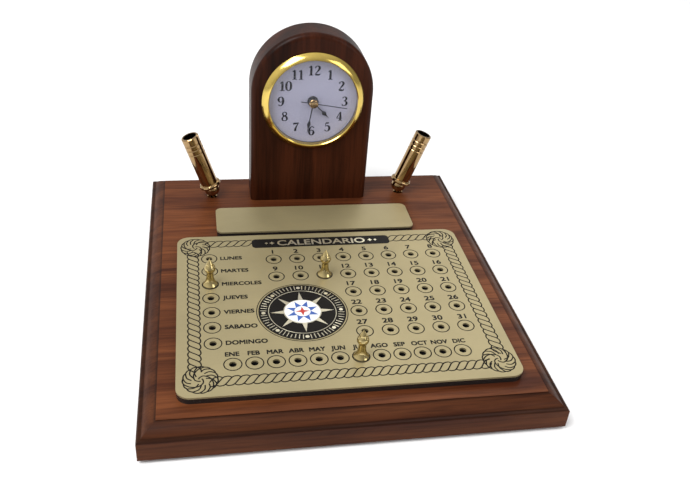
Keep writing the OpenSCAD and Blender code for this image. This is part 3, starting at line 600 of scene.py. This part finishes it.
class DESKCLOCK_OT_wood(bpy.types.Operator):
    """Give the base board and the clock block their varnished wood"""

    bl_idname = "deskclock.wood"
    bl_label = "Wood"

    def execute(self, context):
        s = context.scene.deskclock_finish
        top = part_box("base_board")[1][2] / MM
        # Painted shade on the moulded border, as (depth below the top in millimetres, share of the
        # colour): dark lines in the quirk and on the ledge, with the slope between them and the face below
        # darker too
        lines = ((5.9, 0.7), (5.4, 0.3), (4.8, 0.3), (4.4, 0.6), (1.0, 0.6), (0.6, 0.3), (0.2, 0.35))
        shade = [(0, 0.8)] + [(top - down, share) for down, share in lines] + [(top, 1.0)]
        on_nodes(wood("board_wood", s.board_light, s.board_dark, 0, 0.42, 70.0, shade), "base_board")
        on_nodes(wood("block_wood", s.block_light, s.block_dark, 2, 0.36, 60.0, ()), "clock_block")
        on_nodes(felt_finish("green_felt", (0.03, 0.09, 0.05)), "felt_feet")
        return {"FINISHED"}


class DESKCLOCK_OT_metal(bpy.types.Operator):
    """Give the plates, pegs, funnels and bezel their brass"""

    bl_idname = "deskclock.metal"
    bl_label = "Brass and Steel"

    def execute(self, context):
        s = context.scene.deskclock_finish
        on_nodes(brushed_brass("satin_brass", s.satin_brass, 0.45), "calendar_plate", "dedication_plate")
        on_nodes(
            bright_brass("pale_brass", s.pale_brass, 0.08),
            "left_ball_stud", "left_stud_nut", "left_pen_funnel",
            "right_ball_stud", "right_stud_nut", "right_pen_funnel", "hand_cap",
        )
        on_nodes(bright_brass("golden_brass", s.golden_brass, 0.05), "day_peg", "date_peg", "month_peg")
        on_nodes(bright_brass("yellow_brass", s.yellow_brass, 0.12), "insert_bezel")
        on_nodes(
            plain_metal("plain_steel", (0.62, 0.62, 0.64), 0.32),
            "block_screws", "movement_screws", "cannon_pinion", "stator",
        )
        on_nodes(plain_metal("plated_steel", (0.78, 0.78, 0.80), 0.16), "quartz_can", "button_cell")
        on_nodes(plain_metal("contact_metal", (0.75, 0.60, 0.32), 0.25), "leaf_contact", "rim_contact")
        on_nodes(plain_metal("magnet_grey", (0.20, 0.20, 0.22), 0.45), "rotor_magnet")
        on_nodes(plain_metal("copper_wire", (0.72, 0.30, 0.14), 0.30, 2400.0), "coil_winding")
        return {"FINISHED"}


class DESKCLOCK_OT_coated(bpy.types.Operator):
    """Give the painted, moulded and clear pieces their finishes"""

    bl_idname = "deskclock.coated"
    bl_label = "Paint, Plastic and Crystal"

    def execute(self, context):
        on_nodes(coated("black_backing", (0.012, 0.012, 0.012), 0.22, 300.0, 0.00002, 0.4),
                 "calendar_backing", "dedication_backing")
        on_nodes(coated("dial_paper", (0.425, 0.425, 0.57), 0.55, 1500.0, 0.00001), "dial")
        on_nodes(coated("hand_paint", (0.010, 0.012, 0.020), 0.30, 900.0, 0.00001, 0.3),
                 "hour_hand", "minute_hand", "second_hand")
        on_nodes(coated("black_plastic", (0.045, 0.045, 0.050), 0.42, 700.0, 0.00005),
                 "insert_case", "front_plate", "movement_cover", "battery_cap", "setting_knob")
        on_nodes(coated("black_rubber", (0.020, 0.020, 0.020), 0.7, 500.0, 0.00008), "case_gasket")
        on_nodes(coated("gear_plastic", (0.72, 0.68, 0.56), 0.4, 600.0, 0.00003),
                 "hour_wheel", "minute_wheel", "centre_wheel", "third_wheel", "second_wheel",
                 "drive_wheel", "rotor_pinion")
        on_nodes(coated("bobbin_plastic", (0.03, 0.12, 0.08), 0.4, 500.0, 0.00003), "coil_bobbin")
        on_nodes(coated("circuit_green", (0.01, 0.09, 0.03), 0.3, 400.0, 0.00003, 0.3), "circuit_board")
        on_nodes(coated("chip_black", (0.012, 0.012, 0.012), 0.5, 800.0, 0.00003), "circuit_chip")
        on_nodes(clear_crystal("clear_crystal"), "crystal")
        return {"FINISHED"}


def plate_top():
    """Height of the brass face of the calendar plate."""
    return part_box("calendar_plate")[1][2]


def peg_holes():
    """Places of the weekday, date and month holes on the calendar plate."""
    low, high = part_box("calendar_plate")
    days = [(low[0] + DAY_LEFT * MM, high[1] - (DAY_BACK + DAY_PITCH * n) * MM) for n in range(7)]
    dates = []
    for n in range(31):
        # Two rows of eight, then three rows of five beside the emblem
        col, row = (n % 8, n // 8) if n < 16 else (3 + (n - 16) % 5, 2 + (n - 16) // 5)
        from_right = DATE_RIGHT + (7 - col) * DATE_PITCH
        from_back = DATE_BACK + row * DATE_ROW_PITCH
        dates.append((high[0] - from_right * MM, high[1] - from_back * MM))
    months = [
        (low[0] + (MONTH_LEFT + MONTH_PITCH * n) * MM, low[1] + MONTH_FRONT * MM) for n in range(12)
    ]
    return days, dates, months


def ink_material():
    """The one ink of all the engraving, made at its first use."""
    m = bpy.data.materials.get("engraving_ink")
    if m:
        return m
    ink = bpy.context.scene.deskclock_engraving.ink
    return coated("engraving_ink", ink, 0.5, 1200.0, 0.00001, gloss=0.12)


def engraved(obj, name, at=(0.0, 0.0)):
    """Sets a flat piece on the calendar plate and inks it."""
    obj.location = (at[0], at[1], plate_top())
    dressed(obj, name, "base", ink_material())


class DESKCLOCK_OT_peg_marks(bpy.types.Operator):
    """Draw the rings, the dates, the weekdays and the months on the calendar plate"""

    bl_idname = "deskclock.peg_marks"
    bl_label = "Peg Marks"

    def execute(self, context):
        s = context.scene.deskclock_engraving
        days, dates, months = peg_holes()
        rings = [circle_points(s.ring_d / 2, 36, at) for at in days + dates + months]
        engraved(drawn_lines(rings, "hole_rings", s.line_w * 0.85, INK_LIFT), "hole_rings")

        # Name, words, holes, height, stretch across, room to the right of the hole, room behind it
        numbers = [str(n + 1) for n in range(31)]
        groups = (
            ("date_numbers", numbers, dates, s.date_h, 1.12, 0.0, s.date_up),
            ("month_names", MONTHS, months, s.month_h, 0.95, 0.0, s.month_up),
            ("weekday_names", WEEKDAYS, days, s.day_h, 0.98, s.day_right, 0.0),
        )
        for name, words, holes, height, stretch, right, up in groups:
            pieces = []
            for text, at in zip(words, holes):
                obj, wide = lettering(text, height, stretch, s.bold)
                x = at[0] + (right + wide / 2 if right else 0.0)
                obj.location = (x, at[1] + up, 0.0)
                settle(obj)
                pieces.append(obj)
            engraved(joined(pieces, name), name)
        return {"FINISHED"}


def rope_strokes(start, end, width, pitch):
    """Strand lines of a rope drawn from start to end."""
    along = Vector((end[0] - start[0], end[1] - start[1]))
    run = along.length
    u = along.normalized()
    v = Vector((-u.y, u.x))
    count = max(1, round(run / pitch))
    step = run / count
    half, reach = width / 2, step * 0.72
    # A strand curls in from one side, crosses the rope and curls out on the other side
    shape = [
        (-reach - step * 0.62, -half * 0.80),
        (-reach - step * 0.32, -half * 1.04),
        (-reach * 0.9, -half * 0.98),
    ]
    shape += [(reach * t, half * math.sin(math.pi / 2 * t)) for t in (-0.6, -0.3, 0.0, 0.3, 0.6)]
    shape += [(-x, -y) for x, y in reversed(shape[:3])]
    overrun = 0.0004
    strokes = []
    for k in range(count + 1):
        s = k * step
        line = []
        for a, b in smoothed(shape, 3):
            if -overrun <= s + a <= run + overrun:
                p = Vector(start) + u * (s + a) + v * b
                line.append((p.x, p.y))
        if len(line) > 2:
            strokes.append(line)
    return strokes


def knot_strokes(centre, width, height, turn, mirror):
    """Lines of a round crown knot: a scalloped rim and three wrapped bands."""

    def at(r, angle):
        a = turn + mirror * angle
        return (centre[0] + width / 2 * r * math.cos(a), centre[1] + height / 2 * r * math.sin(a))

    lobes, steps, bands, fibres = 15, 90, 3, 5
    angles = [2 * math.pi * i / steps for i in range(steps)]
    rim = [at(0.97 + 0.035 * abs(math.sin(lobes / 2 * a)), a) for a in angles]
    strokes = [rim + [rim[0]]]
    # Share of the radius and angle of the points of a band's edge, from the rim inwards
    spiral = ((0.99, 0.0), (0.78, 0.42), (0.55, 0.98), (0.33, 1.75), (0.16, 2.6), (0.10, 3.6))
    for band in range(bands):
        a0 = band * 2 * math.pi / bands
        strokes.append(smoothed([at(r, a0 + a) for r, a in spiral], 4))
        for k in range(1, fibres):
            f = k / fibres
            a1 = a0 + f * 2 * math.pi / bands
            inner = 0.30 + 0.42 * abs(f - 0.15)
            fibre = [(0.99, a1), (0.5 * (0.99 + inner) + 0.03, a1 + 0.36), (inner, a1 + 0.62)]
            strokes.append(smoothed([at(r, a) for r, a in fibre], 4))
    return strokes


class DESKCLOCK_OT_rope(bpy.types.Operator):
    """Draw the rope border with its corner knots and the dark banner"""

    bl_idname = "deskclock.rope"
    bl_label = "Rope Border"

    def execute(self, context):
        s = context.scene.deskclock_engraving
        low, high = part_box("calendar_plate")
        left, right = low[0] + ROPE_LEFT * MM, high[0] - ROPE_RIGHT * MM
        front, back = low[1] + ROPE_FRONT * MM, high[1] - ROPE_BACK * MM
        knot_x, knot_y = 7.2 * MM, 7.4 * MM
        banner = s.banner_w / 2 - 0.2 * MM
        runs = (
            ((left + knot_x, front), (right - knot_x, front)),
            ((right, front + knot_y), (right, back - knot_y)),
            ((right - knot_x, back), (banner, back)),
            ((-banner, back), (left + knot_x, back)),
            ((left, back - knot_y), (left, front + knot_y)),
        )
        strokes = []
        for start, end in runs:
            strokes += rope_strokes(start, end, s.rope_w, s.rope_pitch)
        # Middle of each corner knot, the angle it starts at and the way it winds
        corners = (
            (left + 1.6 * MM, back - 3.0 * MM, 0.4, 1), (right - 2.6 * MM, back - 3.0 * MM, 2.2, -1),
            (left + 2.6 * MM, front + 2.0 * MM, 3.4, 1), (right - 2.2 * MM, front + 2.6 * MM, 5.2, -1),
        )
        for x, y, turn, mirror in corners:
            strokes += knot_strokes((x, y), s.knot_w, s.knot_h, turn, mirror)
        engraved(drawn_lines(strokes, "rope_border", s.line_w, INK_LIFT), "rope_border")

        r = 2.6 * MM
        dx, dy = s.banner_w / 2 - r, s.banner_h / 2 - r
        outline = []
        for cx, cy, a0 in ((1, 1, 0), (-1, 1, 90), (-1, -1, 180), (1, -1, 270)):
            outline += [on_circle(r, math.radians(a0 + 15 * k), (cx * dx, cy * dy)) for k in range(7)]
        at = (0.3 * MM, back - 0.9 * MM)
        engraved(flat_shape(outline, "banner"), "banner", at)

        word, wide = lettering("CALENDARIO", s.word_h, 1.15, 0.14 * MM, False)
        pieces = [word]
        for side in (-1, 1):
            # Room beside the word, tip and waist of each small star
            for room, tip, waist in ((3.2, 1.7, 0.8), (6.6, 1.1, 0.6)):
                mark = flat_shape(star_points(tip * MM, waist * MM, 4), "mark")
                mark.location.x = side * (wide / 2 + room * MM)
                settle(mark)
                pieces.append(mark)
        text = joined(pieces, "banner_word")
        text.location = (*at, plate_top() + INK_LIFT)
        dressed(text, "banner_word", "base", bpy.data.materials["satin_brass"])
        return {"FINISHED"}


def star_points(tip, waist, points, turn=0.0):
    """Outline of a star with its first tip up, turned by some degrees."""
    first = math.radians(90 + turn)
    return [
        on_circle(waist if k % 2 else tip, first + math.pi * k / points) for k in range(2 * points)
    ]


class DESKCLOCK_OT_emblem(bpy.types.Operator):
    """Inlay the round enamel emblem, a compass rose"""

    bl_idname = "deskclock.emblem"
    bl_label = "Compass Rose"

    def execute(self, context):
        s = context.scene.deskclock_emblem
        outer = s.radius
        brass = bpy.data.materials["satin_brass"]
        white = coated("white_enamel", s.white, 0.3, 500.0, 0.00001, 0.3)
        blue = coated("blue_enamel", s.blue, 0.3, 500.0, 0.00001, 0.3)
        red = coated("red_enamel", s.red, 0.3, 500.0, 0.00001, 0.3)

        def ring(r, width):
            return drawn_lines([circle_points(r, 96)], "ring", width * MM, INK_LIFT)

        def disc(r, n, centre=(0.0, 0.0)):
            return flat_shape(circle_points(r, n, centre), "disc")

        def star(tip, waist, points, turn=0.0):
            return flat_shape(star_points(tip, waist, points, turn), "star")

        rim = [ring(outer - 0.2 * MM, 0.5)]
        ground = [disc(outer - 1.1 * MM, 96)]
        gold = [ring(outer - 6.6 * MM, 0.5), ring(10.1 * MM, 0.6)]
        ticks = 64
        for k in range(ticks):
            a = 2 * math.pi * k / ticks
            if k % 8:
                ends = (outer - (5.5 if k % 4 else 4.6) * MM, outer - 2.1 * MM)
                line = [on_circle(r, a) for r in ends]
                gold.append(drawn_lines([line], "tick", 0.55 * MM, INK_LIFT))
            else:
                gold.append(disc(1.1 * MM, 16, on_circle(outer - 3.8 * MM, a)))
        gold.append(star(outer - 7.6 * MM, 6.0 * MM, 8))

        # Name, objects, layer, material, slot
        layers = (
            ("emblem_rim", rim, 0, ink_material(), "black_backing"),
            ("emblem_disc", ground, 0, ink_material(), "black_backing"),
            ("emblem_brass", gold, 1, brass, "satin_brass"),
            ("emblem_ground", [disc(9.8 * MM, 64)], 2, white, "dial_white"),
            ("emblem_star", [star(9.2 * MM, 4.6 * MM, 8, 22.5)], 3, blue, "dial_white"),
            ("emblem_field", [disc(4.4 * MM, 32)], 4, white, "dial_white"),
            ("emblem_heart", [star(3.9 * MM, 1.3 * MM, 4)], 5, red, "dial_white"),
        )
        for name, objs, layer, material, slot in layers:
            obj = joined(objs, name)
            obj.location = (EMBLEM_X * MM, EMBLEM_Y * MM, plate_top() + layer * INK_LIFT)
            dressed(obj, name, "base", material)
        return {"FINISHED"}


# Strokes of the numerals on the dial: x, y and half width along each, as shares of the height
DIGITS = {
    "0": [
        [(.28, .97, .03), (.12, .84, .07), (.07, .5, .09), (.12, .16, .07), (.28, .02, .03),
         (.44, .16, .07), (.49, .5, .09), (.44, .84, .07), (.28, .97, .03)],
    ],
    "1": [
        [(.3, .97, .06), (.3, .6, .085), (.3, .3, .085), (.3, .03, .085)],
        [(.1, .8, .035), (.2, .86, .05), (.3, .96, .05)],
        [(.1, .02, .028), (.3, .03, .035), (.5, .02, .028)],
    ],
    "2": [
        [(.12, .77, .075), (.11, .86, .04), (.26, .97, .032), (.43, .88, .075), (.46, .72, .085),
         (.36, .5, .065), (.2, .28, .04), (.08, .06, .035)],
        [(.08, .06, .05), (.25, .07, .075), (.4, .05, .065), (.5, .12, .035), (.52, .23, .022)],
    ],
    "3": [
        [(.12, .82, .07), (.13, .89, .04), (.27, .97, .032), (.42, .87, .075), (.42, .7, .075),
         (.32, .57, .04), (.2, .54, .028)],
        [(.2, .54, .028), (.36, .5, .045), (.47, .34, .088), (.45, .16, .08), (.32, .03, .035),
         (.18, .02, .032), (.09, .09, .04), (.11, .18, .07)],
    ],
    "4": [
        [(.36, .97, .035), (.2, .62, .035), (.05, .3, .035)],
        [(.03, .27, .03), (.3, .27, .035), (.56, .27, .03)],
        [(.38, .95, .05), (.38, .6, .08), (.38, .3, .08), (.38, .03, .08)],
        [(.22, .02, .026), (.38, .03, .03), (.55, .02, .026)],
    ],
    "5": [
        [(.14, .93, .055), (.28, .91, .065), (.44, .95, .04)],
        [(.13, .93, .035), (.12, .74, .03), (.12, .54, .03)],
        [(.12, .54, .03), (.25, .62, .04), (.4, .57, .07), (.48, .38, .09), (.45, .16, .08),
         (.32, .03, .035), (.18, .02, .032), (.09, .09, .04), (.11, .17, .07)],
    ],
    "6": [
        [(.45, .83, .07), (.43, .92, .04), (.32, .97, .032), (.17, .86, .055), (.08, .6, .085),
         (.08, .3, .088), (.16, .08, .055), (.28, .02, .03), (.42, .11, .065), (.48, .3, .088),
         (.42, .5, .06), (.3, .57, .03), (.17, .5, .03), (.1, .38, .04)],
    ],
    "7": [
        [(.06, .76, .03), (.08, .9, .055), (.22, .89, .075), (.38, .93, .05), (.52, .97, .03)],
        [(.52, .97, .03), (.36, .64, .045), (.25, .34, .08), (.22, .05, .09)],
    ],
    "8": [
        [(.28, .55, .06), (.14, .67, .065), (.12, .85, .05), (.28, .97, .032), (.43, .86, .05),
         (.42, .69, .05), (.28, .55, .06)],
        [(.28, .55, .06), (.45, .42, .075), (.5, .22, .07), (.42, .06, .042), (.28, .02, .032),
         (.12, .07, .045), (.07, .24, .07), (.13, .42, .05), (.28, .55, .06)],
    ],
}
DIGITS["9"] = [[(.57 - x, .99 - y, r) for x, y, r in stroke] for stroke in DIGITS["6"]]
DIGIT_W = 0.57  # room that a numeral takes, as a share of its width scale
NUMERAL_STRETCH = 1.12  # width scale of a numeral, as a share of its height
NUMERAL_WEIGHT = 1.28  # by how much the strokes of the numerals are thickened


class DESKCLOCK_OT_dial(bpy.types.Operator):
    """Print the hour numerals and the dots on the dial"""

    bl_idname = "deskclock.dial"
    bl_label = "Dial Print"

    def execute(self, context):
        s = context.scene.deskclock_dial
        tall, across = s.numeral_h, NUMERAL_STRETCH * s.numeral_h
        unit = 0.1 * MM  # half width of a stroke whose width factor is 1
        strokes = []
        for hour in range(1, 13):
            text = str(hour)
            cx, cy = on_circle(s.numeral_r, math.radians(90 - 30 * hour))
            for i, digit in enumerate(text):
                x0 = cx + (i - len(text) / 2) * DIGIT_W * across
                for stroke in DIGITS[digit]:
                    strokes.append([
                        (x0 + x * across, cy + (y - 0.5) * tall, NUMERAL_WEIGHT * r * tall / unit)
                        for x, y, r in smoothed(stroke, 4)
                    ])
        for k in range(60):
            # A dot is a very short stroke, and larger at each hour
            x, y = on_circle(s.dot_r, math.radians(6 * k))
            half = (0.16 if k % 5 else 0.5) * MM
            strokes.append([(x - half / 20, y, half / unit), (x + half / 20, y, half / unit)])
        obj = drawn_lines(strokes, "dial_print", 2 * unit, DIAL_INK)
        on_dial(obj)
        ink = coated("dial_ink", (0.008, 0.008, 0.012), 0.6, 1200.0, 0.00001, gloss=0.2)
        dressed(obj, "dial_print", "clock_insert", ink)
        return {"FINISHED"}


OPERATORS = (
    DESKCLOCK_OT_stage,
    DESKCLOCK_OT_wood,
    DESKCLOCK_OT_metal,
    DESKCLOCK_OT_coated,
    DESKCLOCK_OT_peg_marks,
    DESKCLOCK_OT_rope,
    DESKCLOCK_OT_emblem,
    DESKCLOCK_OT_dial,
)


class DESKCLOCK_PT_panel(bpy.types.Panel):
    """Lists the pieces of the desk clock"""

    bl_label = "Desk Clock"
    bl_space_type = "VIEW_3D"
    bl_region_type = "UI"
    bl_category = "Desk Clock"

    def draw(self, context):
        for op in OPERATORS:
            self.layout.operator(op.bl_idname)
        for group in SETTINGS:
            holder = getattr(context.scene, group)
            box = self.layout.box()
            for prop in holder.bl_rna.properties:
                if prop.identifier not in ("rna_type", "name"):
                    box.prop(holder, prop.identifier)


SETTINGS = {
    "deskclock_engraving": EngravingSettings,
    "deskclock_emblem": EmblemSettings,
    "deskclock_dial": DialSettings,
    "deskclock_finish": FinishSettings,
    "deskclock_stage": StageSettings,
}


def register():
    for cls in tuple(SETTINGS.values()) + OPERATORS + (DESKCLOCK_PT_panel,):
        bpy.utils.register_class(cls)
    for name, group in SETTINGS.items():
        setattr(bpy.types.Scene, name, PointerProperty(type=group))


def unregister():
    for name in SETTINGS:
        delattr(bpy.types.Scene, name)
    for cls in reversed(tuple(SETTINGS.values()) + OPERATORS + (DESKCLOCK_PT_panel,)):
        bpy.utils.unregister_class(cls)


def main():
    register()
    bpy.ops.deskclock.stage()
    bpy.ops.deskclock.wood()
    bpy.ops.deskclock.metal()
    bpy.ops.deskclock.coated()
    bpy.ops.deskclock.peg_marks()
    bpy.ops.deskclock.rope()
    bpy.ops.deskclock.emblem()
    bpy.ops.deskclock.dial()


if __name__ == "__main__":
    main()
